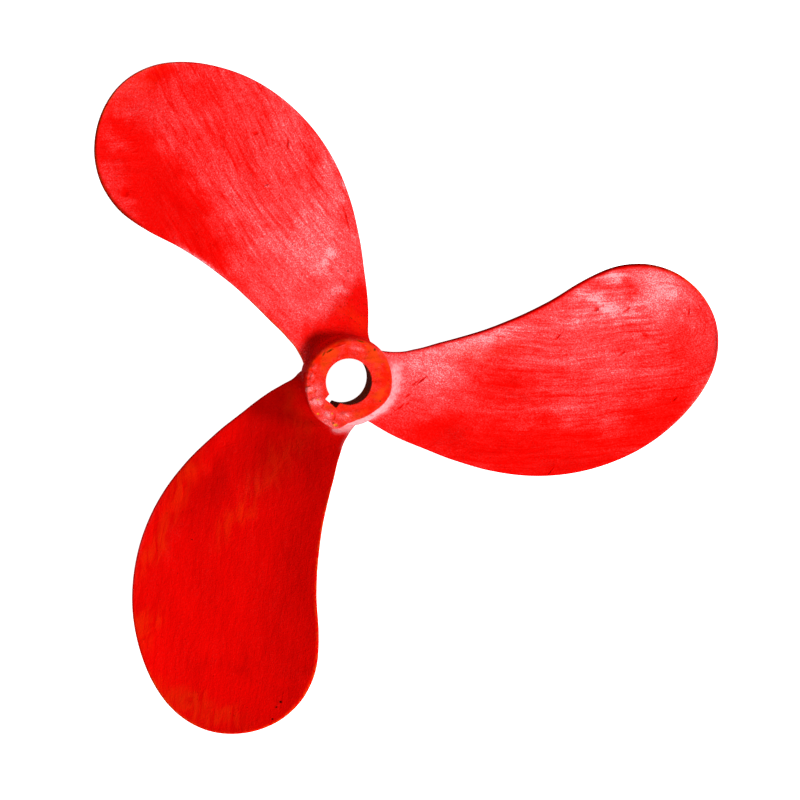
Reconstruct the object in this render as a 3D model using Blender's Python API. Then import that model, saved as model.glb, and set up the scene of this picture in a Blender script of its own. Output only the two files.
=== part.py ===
"""Ship propeller with three fixed blades, poured in one piece and bored for a tapered shaft.

The shaft axis is Z, with +Z aft, so the blades' driving faces look up. The origin is the
centre of mass, on the shaft axis. The propeller lies on the fore end of its hub.
"""
import math

import bmesh
import bpy
import numpy as np
from mathutils import Matrix

# Driving dimensions, metres and degrees
TIP_RADIUS = 0.450
BLADE_DIRECTIONS = (30.0, 150.0, 270.0)
GENERATOR_Z = -0.002

# Hub: heights are measured from the blades' generator plane. It is widest near its aft end
HUB_AFT = 0.029
HUB_FORE = -0.035
HUB_WIDEST = 0.0545
AFT_FACE_RADIUS = 0.0480
AFT_ROUNDING = 0.0110
WAIST = -0.002
FORE_FACE_RADIUS = 0.0455
FORE_RADIUS = 0.0490
FORE_ROUNDING = 0.0040
CORNER_STEPS = 4
HUB_SIDES = 72

# Shaft seat: a 1:12 taper, narrow end aft, with a key slot on the side of the third blade
BORE_AFT_RADIUS = 0.0275
BORE_TAPER = 1.0 / 12.0
KEYWAY_WIDTH = 0.017
KEYWAY_FLOOR = 0.0340
BORE_SIDES = 64
CUT_BEYOND = 0.010

# Blade outline: radius, and the arc from the generator line to the leading and trailing edge
BLADE_OUTLINE = (
    (0.046, -0.052, 0.048),
    (0.060, -0.053, 0.047),
    (0.072, -0.057, 0.048),
    (0.090, -0.063, 0.054),
    (0.120, -0.070, 0.067),
    (0.165, -0.079, 0.087),
    (0.210, -0.084, 0.111),
    (0.255, -0.082, 0.139),
    (0.300, -0.070, 0.172),
    (0.340, -0.049, 0.197),
    (0.375, -0.021, 0.208),
    (0.405, 0.014, 0.205),
    (0.430, 0.054, 0.187),
    (0.443, 0.085, 0.165),
)
TIP_ARC = 0.128

# Blade pitch and thickness
PITCH_ANGLE = 13.4
ROOT_PITCH_RISE = 5.0
ROOT_PITCH_POWER = 4
ROOT_THICKNESS = 0.022
TIP_THICKNESS = 0.0050
ROOT_EDGE = 0.0050
TIP_EDGE = 0.0030
EDGE_ROUNDING = 0.0015
FILLET = 0.016
FILLET_SHARE = 0.8
FILLET_START = 0.0505

# How finely a blade is divided: stations near the hub, stations out to the tip, chord points
ROOT_STATIONS = (0.0460, 0.0505, 0.0530, 0.0570, 0.0665)
OUTER_START = 0.080
OUTER_STATIONS = 22
CHORD_POINTS = 11

PAINT_COLOUR = (0.75, 0.01, 0.01, 1.0)
PAINT_ROUGHNESS = 0.45


def clear_scene():
    for thing in list(bpy.data.objects):
        bpy.data.objects.remove(thing, do_unlink=True)


def add_object(name, mesh):
    thing = bpy.data.objects.new(name, mesh)
    bpy.context.scene.collection.objects.link(thing)
    return thing


def smooth_curve(knots, values, at):
    """Runs a smooth curve through the knots and reads it at one place or several."""
    knots = np.asarray(knots, dtype=float)
    values = np.asarray(values, dtype=float)
    gaps = np.diff(knots)
    slopes = np.diff(values) / gaps
    tangents = np.empty_like(values)
    tangents[0] = slopes[0]
    tangents[-1] = slopes[-1]
    tangents[1:-1] = (gaps[1:] * slopes[:-1] + gaps[:-1] * slopes[1:]) / (gaps[1:] + gaps[:-1])
    span = np.clip(np.searchsorted(knots, at) - 1, 0, len(gaps) - 1)
    t = (at - knots[span]) / gaps[span]
    start = values[span] * (1 + 2 * t) * (1 - t) ** 2 + tangents[span] * gaps[span] * t * (1 - t) ** 2
    end = values[span + 1] * t * t * (3 - 2 * t) + tangents[span + 1] * gaps[span] * t * t * (t - 1)
    return start + end


def edge_angles(radius):
    """Angles of the leading and trailing edge at a radius, round one curve through the tip."""
    knots = [-math.sqrt(1 - row[0] / TIP_RADIUS) for row in BLADE_OUTLINE]
    angles = [row[1] / row[0] for row in BLADE_OUTLINE]
    knots += [0.0] + [math.sqrt(1 - row[0] / TIP_RADIUS) for row in reversed(BLADE_OUTLINE)]
    angles += [TIP_ARC / TIP_RADIUS] + [row[2] / row[0] for row in reversed(BLADE_OUTLINE)]
    along = math.sqrt(max(0.0, 1 - radius / TIP_RADIUS))
    return smooth_curve(knots, angles, -along), smooth_curve(knots, angles, along)


def face_height(radius, angle):
    """Height of the driving face, a screw surface that is steeper towards the hub."""
    inboard = (1 - radius / TIP_RADIUS) / 0.8
    pitch = PITCH_ANGLE + ROOT_PITCH_RISE * inboard ** ROOT_PITCH_POWER
    return radius * angle * math.tan(math.radians(pitch))


def thickness(radius, across):
    """Thickness of the blade, thickest at mid chord; across runs from -1 to 1."""
    inboard = 1 - radius / TIP_RADIUS
    middle = TIP_THICKNESS + (ROOT_THICKNESS - TIP_THICKNESS) * inboard ** 1.3
    edge = TIP_EDGE + (ROOT_EDGE - TIP_EDGE) * inboard
    return edge + (middle - edge) * (1 - across ** 2)


def fillet_rise(radius, room):
    """How far a root fillet lifts the blade's surface, within the room that the hub leaves."""
    depth = 1 - (radius - FILLET_START) / FILLET
    depth = min(1.0, max(0.0, depth))
    return min(FILLET, FILLET_SHARE * room) * (1 - math.sqrt(1 - depth ** 2))


def surface_points(radius, angle, across):
    """Heights of the driving face and of the back, with the root fillets."""
    face = face_height(radius, angle)
    back = face - thickness(radius, across)
    face += fillet_rise(radius, HUB_AFT - face)
    back -= fillet_rise(radius, back - HUB_FORE)
    return face, back


def stations():
    """Radii of the blade's sections, closer together near the tip."""
    start = math.sqrt(1 - OUTER_START / TIP_RADIUS)
    outer = [TIP_RADIUS * (1 - along ** 2) for along in np.linspace(start, 0, OUTER_STATIONS)]
    return list(ROOT_STATIONS) + outer


def blade_mesh(name):
    """One blade along +X: two faces, joined round the outline by a rounded edge."""
    shape = bmesh.new()
    inset = 1 - EDGE_ROUNDING / TIP_RADIUS
    narrowing = 1 - EDGE_ROUNDING / 0.100

    def vertex(radius, angle, height):
        return shape.verts.new((radius * math.cos(angle), radius * math.sin(angle), height))

    rings = []
    for outline_radius in stations():
        lead, trail = edge_angles(outline_radius)
        middle = (lead + trail) / 2
        half = (trail - lead) / 2
        radius = outline_radius * inset
        at_tip = outline_radius > TIP_RADIUS * 0.9999
        faces = []
        backs = []
        for across in ([0.0] if at_tip else np.linspace(-1, 1, CHORD_POINTS)):
            angle = middle + half * narrowing * across
            edge_on = 1.0 if at_tip else across
            face, back = surface_points(radius, angle, edge_on)
            faces.append(vertex(radius, angle, face))
            backs.append(vertex(radius, angle, back))
        edges = []
        for angle in ([middle] if at_tip else [lead, trail]):
            face, back = surface_points(outline_radius, angle, 1.0)
            edges.append(vertex(outline_radius, angle, (face + back) / 2))
        count = 1 if not at_tip else CHORD_POINTS
        rings.append((faces * count, backs * count, [edges[0], edges[-1]]))

    for inner, outer in zip(rings, rings[1:]):
        for side in (0, 1):
            for k in range(CHORD_POINTS - 1):
                add_face(shape, inner[side][k], inner[side][k + 1], outer[side][k + 1], outer[side][k])
            for end in (0, -1):
                add_face(shape, inner[side][end], outer[side][end], outer[2][end], inner[2][end])
    faces, backs, edges = rings[0]
    add_face(shape, edges[0], *faces, edges[1], *reversed(backs))
    bmesh.ops.triangulate(shape, faces=shape.faces)
    bmesh.ops.recalc_face_normals(shape, faces=shape.faces)
    mesh = bpy.data.meshes.new(name)
    shape.to_mesh(mesh)
    shape.free()
    return mesh


def add_face(shape, *corners):
    """Adds a face, leaving out corners that fall together at the tip."""
    single = list(dict.fromkeys(corners))
    if len(single) > 2:
        shape.faces.new(single)


def rounded_corner(face_radius, side_radius, face_height, depth):
    """Points on a quarter ellipse from an end face of the hub to its side."""
    points = []
    for turn in np.linspace(0, math.pi / 2, CORNER_STEPS + 1):
        radius = face_radius + (side_radius - face_radius) * math.sin(turn)
        points.append((radius, face_height - depth * (1 - math.cos(turn))))
    return points


def hub_mesh(name):
    """The hub's outline, turned once round the shaft axis."""
    aft_corner = rounded_corner(AFT_FACE_RADIUS, HUB_WIDEST, HUB_AFT, AFT_ROUNDING)
    fore_corner = rounded_corner(FORE_FACE_RADIUS, FORE_RADIUS, HUB_FORE, -FORE_ROUNDING)
    waist = (HUB_WIDEST, WAIST)
    profile = [(0.0, HUB_AFT), *aft_corner, waist, *reversed(fore_corner), (0.0, HUB_FORE)]
    shape = bmesh.new()
    points = [shape.verts.new((radius, 0, height)) for radius, height in profile]
    edges = [shape.edges.new(pair) for pair in zip(points, points[1:])]
    bmesh.ops.spin(
        shape,
        geom=points + edges,
        cent=(0, 0, 0),
        axis=(0, 0, 1),
        dvec=(0, 0, 0),
        angle=2 * math.pi,
        steps=HUB_SIDES,
        use_merge=True,
    )
    bmesh.ops.remove_doubles(shape, verts=shape.verts, dist=1e-6)
    bmesh.ops.recalc_face_normals(shape, faces=shape.faces)
    mesh = bpy.data.meshes.new(name)
    shape.to_mesh(mesh)
    shape.free()
    return mesh


def bore_mesh(name):
    """The reamer's taper, run past both ends of the hub."""
    low = HUB_FORE - CUT_BEYOND
    high = HUB_AFT + CUT_BEYOND
    widening = BORE_TAPER / 2
    shape = bmesh.new()
    bmesh.ops.create_cone(
        shape,
        cap_ends=True,
        segments=BORE_SIDES,
        radius1=BORE_AFT_RADIUS + (HUB_AFT - low) * widening,
        radius2=BORE_AFT_RADIUS - CUT_BEYOND * widening,
        depth=high - low,
        matrix=Matrix.Translation((0, 0, (high + low) / 2)),
    )
    mesh = bpy.data.meshes.new(name)
    shape.to_mesh(mesh)
    shape.free()
    return mesh


def keyway_mesh(name):
    """The slotting tool's path, a bar that stands inside the bore and cuts its wall."""
    low = HUB_FORE - CUT_BEYOND
    high = HUB_AFT + CUT_BEYOND
    inner = BORE_AFT_RADIUS * 0.7
    shape = bmesh.new()
    size = Matrix.Diagonal((KEYWAY_WIDTH, KEYWAY_FLOOR - inner, high - low, 1.0))
    place = Matrix.Translation((0, -(KEYWAY_FLOOR + inner) / 2, (high + low) / 2))
    bmesh.ops.create_cube(shape, size=1.0, matrix=place @ size)
    mesh = bpy.data.meshes.new(name)
    shape.to_mesh(mesh)
    shape.free()
    return mesh


def as_tool(thing, base, operation):
    """Keeps a shape out of the render and adds it to the casting or cuts it away."""
    thing.hide_render = True
    thing.display_type = "WIRE"
    modifier = base.modifiers.new(thing.name, "BOOLEAN")
    modifier.operation = operation
    modifier.object = thing
    modifier.solver = "EXACT"


def paint_material():
    paint = bpy.data.materials.new("red_paint")
    paint.use_nodes = True
    shader = paint.node_tree.nodes["Principled BSDF"]
    shader.inputs["Base Color"].default_value = PAINT_COLOUR
    shader.inputs["Roughness"].default_value = PAINT_ROUGHNESS
    shader.inputs["Metallic"].default_value = 0.0
    return paint


def build_propeller():
    """Joins the blades to the hub as one casting, then bores and slots it."""
    casting = add_object("propeller", hub_mesh("hub"))
    casting.location.z = GENERATOR_Z
    casting.data.materials.append(paint_material())
    blade = blade_mesh("blade")
    for number, direction in enumerate(BLADE_DIRECTIONS, start=1):
        copy = add_object(f"blade_{number}", blade)
        copy.location.z = GENERATOR_Z
        copy.rotation_euler.z = math.radians(direction)
        as_tool(copy, casting, "UNION")
    for name, mesh in (("shaft_bore", bore_mesh("shaft_bore")), ("keyway", keyway_mesh("keyway"))):
        tool = add_object(name, mesh)
        tool.location.z = GENERATOR_Z
        as_tool(tool, casting, "DIFFERENCE")
    casting.data.shade_smooth()
    casting.data.set_sharp_from_angle(angle=math.radians(35))


clear_scene()
build_propeller()
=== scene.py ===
"""Ship propeller seen from astern, lying on the fore end of its hub on a pale floor."""
import math

import bmesh
import bpy
import numpy as np
from mathutils import Matrix
from mathutils.kdtree import KDTree


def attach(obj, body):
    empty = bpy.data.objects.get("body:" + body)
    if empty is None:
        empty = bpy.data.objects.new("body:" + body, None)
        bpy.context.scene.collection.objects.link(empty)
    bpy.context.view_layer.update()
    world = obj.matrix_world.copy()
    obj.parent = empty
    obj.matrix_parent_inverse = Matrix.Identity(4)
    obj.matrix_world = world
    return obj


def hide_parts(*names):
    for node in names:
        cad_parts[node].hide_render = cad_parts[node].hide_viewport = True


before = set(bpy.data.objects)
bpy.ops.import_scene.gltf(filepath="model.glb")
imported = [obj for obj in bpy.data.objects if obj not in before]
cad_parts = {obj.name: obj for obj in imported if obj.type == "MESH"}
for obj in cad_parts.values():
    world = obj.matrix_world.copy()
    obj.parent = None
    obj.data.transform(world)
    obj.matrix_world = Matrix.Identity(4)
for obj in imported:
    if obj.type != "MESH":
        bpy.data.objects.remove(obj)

scene = bpy.context.scene
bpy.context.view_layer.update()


# The photographer's place
# Almost straight above the hub, nearly eleven metres away with a long lens. The photograph is
# turned 40 degrees against the shaft's own axes, and the shaft leans a little in it. The
# blades' generator lines lie 2 mm fore of the row's origin, which is the centre of mass.
GENERATOR_Z = -0.002
VIEW_TURN = 40.0
SHAFT_LEAN_ACROSS = 8.22
SHAFT_LEAN_UP = 5.18
CAMERA_OFFSET = (0.0650, -0.0244, 10.750)
SENSOR_MM = 36.0
LENS_MM = 405.0

camera_data = bpy.data.cameras.new("camera")
camera_data.sensor_width = SENSOR_MM
camera_data.lens = LENS_MM
camera_data.clip_start = 0.1
camera_data.clip_end = 100.0
camera = bpy.data.objects.new("camera", camera_data)
scene.collection.objects.link(camera)
scene.camera = camera
camera.matrix_world = (
    Matrix.Translation((0, 0, GENERATOR_Z))
    @ Matrix.Rotation(math.radians(VIEW_TURN), 4, "Z")
    @ Matrix.Rotation(math.radians(-SHAFT_LEAN_ACROSS), 4, "Y")
    @ Matrix.Rotation(math.radians(-SHAFT_LEAN_UP), 4, "X")
    @ Matrix.Translation(CAMERA_OFFSET)
)


# Casting: the blades
# Three fixed blades of cast bronze, poured with the hub, ground by hand and brushed with red
# paint. Each is a screw surface, thin at its edges and thickest where it grows from the hub.
# The outline gives, for each radius, the arcs from the blade's generator line to its leading
# and its trailing edge. All lengths are in metres, and all turns in degrees.
TIP_RADIUS = 0.450
BLADE_DIRECTIONS = (30.0, 150.0, 270.0)
HUB_AFT = 0.029
HUB_FORE = -0.035
BLADE_OUTLINE = (
    (0.046, -0.052, 0.048),
    (0.060, -0.053, 0.047),
    (0.072, -0.057, 0.048),
    (0.090, -0.063, 0.054),
    (0.120, -0.070, 0.067),
    (0.165, -0.079, 0.087),
    (0.210, -0.084, 0.111),
    (0.255, -0.082, 0.139),
    (0.300, -0.070, 0.172),
    (0.340, -0.049, 0.197),
    (0.375, -0.021, 0.208),
    (0.405, 0.014, 0.205),
    (0.430, 0.054, 0.187),
    (0.443, 0.085, 0.165),
)
TIP_ARC = 0.128
PITCH_ANGLE = 13.4
ROOT_PITCH_RISE = 5.0
ROOT_PITCH_POWER = 4
ROOT_INBOARD = 0.8
ROOT_THICKNESS = 0.022
TIP_THICKNESS = 0.0050
THICKNESS_POWER = 1.3
THIN_HALF_CHORD = 0.060
ROOT_EDGE = 0.0050
TIP_EDGE = 0.0030
EDGE_ROUNDING = 0.0018
MEAN_HALF_CHORD = 0.100
HOLLOW = 0.08
OUTLINE_INSET = 0.0003
FILLET = 0.0145
FILLET_START = 0.0541
FILLET_SHARE = 0.85
LEAST_FACE_FILLET = 0.004
LEAST_BACK_FILLET = 0.002
WALL_TOP = 0.021
BURIED_RADII = [0.0470, 0.0510]
FACE_POINTS = 84
BACK_POINTS = 36
RIM_STEPS = 6
FILLET_ROWS = 9
BLADE_ROWS = 124
EVEN_ROWS = 0.62
RADIUS_SAMPLES = 4000
WELD_DISTANCE = 1e-6
GRINDING_DEPTH = 0.00035
GRINDING_SHIFT = 2.0
GRINDING_WAVES = ((41, 23, 1.0, 1.0), (-29, 67, 2.1, 1.0), (96, -58, 1.3, 0.6))


def smooth_curve(knots, values, at):
    """Runs a smooth curve through the knots and reads it at several places."""
    knots = np.asarray(knots, dtype=float)
    values = np.asarray(values, dtype=float)
    gaps = np.diff(knots)
    slopes = np.diff(values) / gaps
    tangents = np.empty_like(values)
    tangents[0] = slopes[0]
    tangents[-1] = slopes[-1]
    tangents[1:-1] = (gaps[1:] * slopes[:-1] + gaps[:-1] * slopes[1:]) / (gaps[1:] + gaps[:-1])
    span = np.clip(np.searchsorted(knots, at) - 1, 0, len(gaps) - 1)
    gap = gaps[span]
    t = (at - knots[span]) / gap
    start = values[span] * (1 + 2 * t) * (1 - t) ** 2 + tangents[span] * gap * t * (1 - t) ** 2
    end = values[span + 1] * t * t * (3 - 2 * t) + tangents[span + 1] * gap * t * t * (t - 1)
    return start + end


def edge_angles(radius):
    """Angles of the leading and trailing edge at each radius, on one curve round the tip."""
    knots = [-math.sqrt(1 - row[0] / TIP_RADIUS) for row in BLADE_OUTLINE]
    angles = [row[1] / row[0] for row in BLADE_OUTLINE]
    knots += [0.0] + [math.sqrt(1 - row[0] / TIP_RADIUS) for row in reversed(BLADE_OUTLINE)]
    angles += [TIP_ARC / TIP_RADIUS] + [row[2] / row[0] for row in reversed(BLADE_OUTLINE)]
    along = np.sqrt(np.clip(1 - radius / TIP_RADIUS, 0, None))
    return smooth_curve(knots, angles, -along), smooth_curve(knots, angles, along)


def blade_rows():
    """Radii of the rows of points: round the root fillet, then out to the tip, closer there."""
    turn = np.linspace(math.pi / 2, 0, FILLET_ROWS)
    root = BURIED_RADII + list(FILLET_START + FILLET * (1 - np.sin(turn)))
    radius = np.linspace(root[-1], TIP_RADIUS, RADIUS_SAMPLES)
    spread = np.sqrt(1 - radius / TIP_RADIUS)
    evenly = (radius - radius[0]) / (radius[-1] - radius[0])
    place = EVEN_ROWS * evenly + (1 - EVEN_ROWS) * (1 - spread / spread[0])
    outer = np.interp(np.linspace(0, 1, BLADE_ROWS), place, radius)
    return np.concatenate([root, outer[1:]])


def grinding(x, y, phase):
    """The long shallow waves that hand grinding leaves, in metres."""
    waves = [
        share * np.sin(along_x * x + along_y * y + shift * phase)
        for along_x, along_y, shift, share in GRINDING_WAVES
    ]
    return GRINDING_DEPTH * sum(waves)


def blade_heights(radius, angle, across, half_chord, phase):
    """Heights of the hollow driving face and of the back, with waves and root fillets."""
    inboard = 1 - radius / TIP_RADIUS
    pitch = PITCH_ANGLE + ROOT_PITCH_RISE * (inboard / ROOT_INBOARD) ** ROOT_PITCH_POWER
    hollow = HOLLOW / 2 * half_chord * (1 - across ** 2)
    face = radius * angle * np.tan(np.radians(pitch)) - hollow
    middle = TIP_THICKNESS + (ROOT_THICKNESS - TIP_THICKNESS) * inboard ** THICKNESS_POWER
    edge = TIP_EDGE + (ROOT_EDGE - TIP_EDGE) * inboard
    fullness = 1 - (1 - np.clip(half_chord / THIN_HALF_CHORD, 0, 1)) ** 2
    back = face - edge - (middle - edge) * (1 - across ** 2) * fullness
    wave = grinding(radius * np.cos(angle), radius * np.sin(angle), phase)
    face = face + wave * (1 - across ** 4)
    depth = np.clip(1 - (radius - FILLET_START) / FILLET, 0, 1)
    rise = 1 - np.sqrt(1 - depth ** 2)
    face = face + rise * np.clip(FILLET_SHARE * (WALL_TOP - face), LEAST_FACE_FILLET, FILLET)
    back = back - rise * np.clip(FILLET_SHARE * (back - HUB_FORE), LEAST_BACK_FILLET, FILLET)
    return face, back


def blade_shell(phase):
    """Corners of one blade along +X: a tube of rows that draws together at the tip."""
    outer = blade_rows()
    lead, trail = edge_angles(outer)
    middle = (lead + trail) / 2
    half = (trail - lead) / 2
    outer = outer * (1 - OUTLINE_INSET / TIP_RADIUS)
    half = half * (1 - OUTLINE_INSET / MEAN_HALF_CHORD)
    inner = outer * (1 - EDGE_ROUNDING / TIP_RADIUS)
    narrow = half * (1 - EDGE_ROUNDING / MEAN_HALF_CHORD)
    chord = half * outer
    columns = []
    for across in np.linspace(-1, 1, FACE_POINTS):
        angle = middle + narrow * across
        columns.append((inner, angle, blade_heights(inner, angle, across, chord, phase)[0]))
    rims = {}
    for side in (1, -1):
        face, back = blade_heights(inner, middle + narrow * side, side, chord, phase)
        rims[side] = []
        for turn in np.linspace(math.pi / 2, -math.pi / 2, RIM_STEPS + 1)[1:-1]:
            out = math.cos(turn)
            radius = inner + (outer - inner) * out
            angle = middle + side * (narrow + (half - narrow) * out)
            height = (face + back) / 2 + (face - back) / 2 * math.sin(turn)
            rims[side].append((radius, angle, height))
    columns += rims[1]
    for across in np.linspace(1, -1, BACK_POINTS):
        angle = middle + narrow * across
        columns.append((inner, angle, blade_heights(inner, angle, across, chord, phase)[1]))
    columns += reversed(rims[-1])
    grid = np.array(columns)
    radius, angle, height = grid[:, 0], grid[:, 1], grid[:, 2]
    return np.stack([radius * np.cos(angle), radius * np.sin(angle), height], axis=-1)


def tube_mesh(name, corners, closed):
    """Joins a grid of points, columns round and rows along, into a mesh with closed ends."""
    columns, rows = corners.shape[:2]
    faces = []
    for column in range(columns):
        here = column * rows
        beside = (column + 1) % columns * rows
        for row in range(rows if closed else rows - 1):
            above = (row + 1) % rows
            faces.append((here + row, here + above, beside + above, beside + row))
    if not closed:
        faces.append([column * rows for column in range(columns)])
    mesh = bpy.data.meshes.new(name)
    mesh.from_pydata(corners.reshape(-1, 3).tolist(), [], faces)
    shape = bmesh.new()
    shape.from_mesh(mesh)
    bmesh.ops.remove_doubles(shape, verts=shape.verts, dist=WELD_DISTANCE)
    bmesh.ops.recalc_face_normals(shape, faces=shape.faces)
    shape.to_mesh(mesh)
    shape.free()
    return mesh


# Casting: the hub
# One thick ring between the blades, turned at both ends and reamed to a 1:12 taper for the
# shaft, with a slot for the key. Its aft rim is worn and was dressed by hand, so it wanders:
# AFT_RIM gives the radius where the flat face ends, at turns from +X.
HUB_WIDEST = 0.0542
AFT_ROUNDING = 0.0110
LEAST_ROUNDING = 0.0015
WAIST = -0.002
FORE_FACE_RADIUS = 0.0455
FORE_RADIUS = 0.0488
FORE_ROUNDING = 0.0040
BORE_AFT_RADIUS = 0.0275
BORE_TAPER = 1.0 / 12.0
BORE_BREAK = 0.0006
KEYWAY_WIDTH = 0.017
KEYWAY_FLOOR = 0.0340
KEYWAY_START = 0.7
CUT_BEYOND = 0.010
HUB_SIDES = 228
BORE_ROWS = 24
FACE_RINGS = 34
ROUNDING_ROWS = 11
SIDE_ROWS = 13
SKIRT_ROWS = 17
FORE_ROUNDING_ROWS = 6
FORE_RINGS = 8
SEAT_RADIUS = 0.0415
SEAT_DEPTH = 0.0009
SEAT_STEP = 0.0012
SEAT_TURN = 128
SEAT_REACH = 50
FACE_WAVE_HEIGHT = 0.00014
FACE_WAVES = ((330, 190, 0), (-250, 410, 1), (620, -560, 2))
AFT_RIM = (
    (0, 0.0478),
    (22, 0.0512),
    (50, 0.0512),
    (75, 0.0518),
    (100, 0.0508),
    (122, 0.0475),
    (145, 0.0450),
    (170, 0.0460),
    (200, 0.0492),
    (228, 0.0500),
    (245, 0.0535),
    (262, 0.0562),
    (280, 0.0572),
    (292, 0.0585),
    (298, 0.0565),
    (308, 0.0495),
    (322, 0.0462),
    (340, 0.0458),
    (354, 0.0466),
    (360, 0.0478),
)


def aft_face_height(radius, turn):
    """The aft face, uneven under its paint, sunk on one side where the shaft nut was seated."""
    off = (math.degrees(turn) - SEAT_TURN) / SEAT_REACH
    worn = math.cos(off * math.pi / 2) if abs(off) < 1 else 0.0
    inside = min(max((SEAT_RADIUS - radius) / SEAT_STEP + 0.5, 0.0), 1.0)
    x = radius * math.cos(turn)
    y = radius * math.sin(turn)
    waves = [
        math.sin(along_x * x + along_y * y + shift) for along_x, along_y, shift in FACE_WAVES
    ]
    return HUB_AFT - SEAT_DEPTH * worn * inside + FACE_WAVE_HEIGHT * sum(waves)


def hub_shell():
    """Corners of the hub, a ring whose section changes a little on its way round."""
    turns = np.radians(np.linspace(0, 360, HUB_SIDES, endpoint=False))
    degrees, rims = zip(*AFT_RIM)
    columns = []
    for turn, rim in zip(turns, np.interp(np.degrees(turns), degrees, rims)):
        side = max(HUB_WIDEST, rim + LEAST_ROUNDING)
        section = []
        for height in np.linspace(HUB_FORE + BORE_BREAK, HUB_AFT - BORE_BREAK, BORE_ROWS):
            section.append((BORE_AFT_RADIUS + (HUB_AFT - height) * BORE_TAPER / 2, height))
        face_start = BORE_AFT_RADIUS + BORE_BREAK
        for radius in np.linspace(face_start, rim, FACE_RINGS)[:-1]:
            section.append((radius, aft_face_height(radius, turn)))
        for bend in np.linspace(0, math.pi / 2, ROUNDING_ROWS):
            radius = rim + (side - rim) * math.sin(bend)
            drop = AFT_ROUNDING * (1 - math.cos(bend))
            section.append((radius, aft_face_height(rim, turn) - drop))
        for share in np.linspace(0, 1, SIDE_ROWS)[1:]:
            radius = side + (HUB_WIDEST - side) * math.sin(share * math.pi / 2)
            height = HUB_AFT - AFT_ROUNDING
            section.append((radius, height + (WAIST - height) * share))
        for share in np.linspace(0, 1, SKIRT_ROWS)[1:-1]:
            radius = HUB_WIDEST + (FORE_RADIUS - HUB_WIDEST) * share
            section.append((radius, WAIST + (HUB_FORE + FORE_ROUNDING - WAIST) * share))
        for bend in np.linspace(math.pi / 2, 0, FORE_ROUNDING_ROWS):
            radius = FORE_FACE_RADIUS + (FORE_RADIUS - FORE_FACE_RADIUS) * math.sin(bend)
            section.append((radius, HUB_FORE + FORE_ROUNDING * (1 - math.cos(bend))))
        bore_end = BORE_AFT_RADIUS + (HUB_AFT - HUB_FORE) * BORE_TAPER / 2 + BORE_BREAK
        for radius in np.linspace(FORE_FACE_RADIUS, bore_end, FORE_RINGS)[1:]:
            section.append((radius, HUB_FORE))
        columns.append([(r * math.cos(turn), r * math.sin(turn), z) for r, z in section])
    return np.array(columns)


def add_object(name, mesh):
    """Puts a form in the scene, at the height of the blades' generator lines."""
    thing = bpy.data.objects.new(name, mesh)
    scene.collection.objects.link(thing)
    thing.location.z = GENERATOR_Z
    return thing


def keyway_mesh():
    """The slotting tool's path, a bar that stands inside the bore and cuts its wall."""
    low = HUB_FORE - CUT_BEYOND
    high = HUB_AFT + CUT_BEYOND
    inner = BORE_AFT_RADIUS * KEYWAY_START
    shape = bmesh.new()
    size = Matrix.Diagonal((KEYWAY_WIDTH, KEYWAY_FLOOR - inner, high - low, 1.0))
    place = Matrix.Translation((0, -(KEYWAY_FLOOR + inner) / 2, (high + low) / 2))
    bmesh.ops.create_cube(shape, size=1.0, matrix=place @ size)
    mesh = bpy.data.meshes.new("keyway")
    shape.to_mesh(mesh)
    shape.free()
    return mesh


def in_fixed_order(mesh):
    """The same mesh with its points and faces sorted, because a join leaves them in any order."""
    places = [tuple(vertex.co) for vertex in mesh.vertices]
    order = sorted(range(len(places)), key=places.__getitem__)
    rank = {old: new for new, old in enumerate(order)}
    faces = []
    for face in mesh.polygons:
        ring = [rank[index] for index in face.vertices]
        first = ring.index(min(ring))
        faces.append(ring[first:] + ring[:first])
    sorted_mesh = bpy.data.meshes.new("casting")
    sorted_mesh.from_pydata([places[old] for old in order], [], sorted(faces))
    return sorted_mesh


def cast_whole():
    """Joins the blades to the hub and cuts the slot, as one mesh in the row frame."""
    base = add_object("hub_form", tube_mesh("hub", hub_shell(), closed=True))
    tools = []
    for number, direction in enumerate(BLADE_DIRECTIONS, start=1):
        mesh = tube_mesh("blade", blade_shell(GRINDING_SHIFT * number), closed=False)
        blade = add_object(f"blade_form_{number}", mesh)
        blade.rotation_euler.z = math.radians(direction)
        tools.append((blade, "UNION"))
    tools.append((add_object("keyway_form", keyway_mesh()), "DIFFERENCE"))
    for tool, operation in tools:
        modifier = base.modifiers.new(tool.name, "BOOLEAN")
        modifier.operation = operation
        modifier.object = tool
        modifier.solver = "EXACT"
    graph = bpy.context.evaluated_depsgraph_get()
    mesh = bpy.data.meshes.new_from_object(base.evaluated_get(graph))
    mesh.transform(base.matrix_world)
    for thing in [base] + [tool for tool, _ in tools]:
        bpy.data.objects.remove(thing, do_unlink=True)
    return in_fixed_order(mesh)


casting_mesh = cast_whole()


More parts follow.
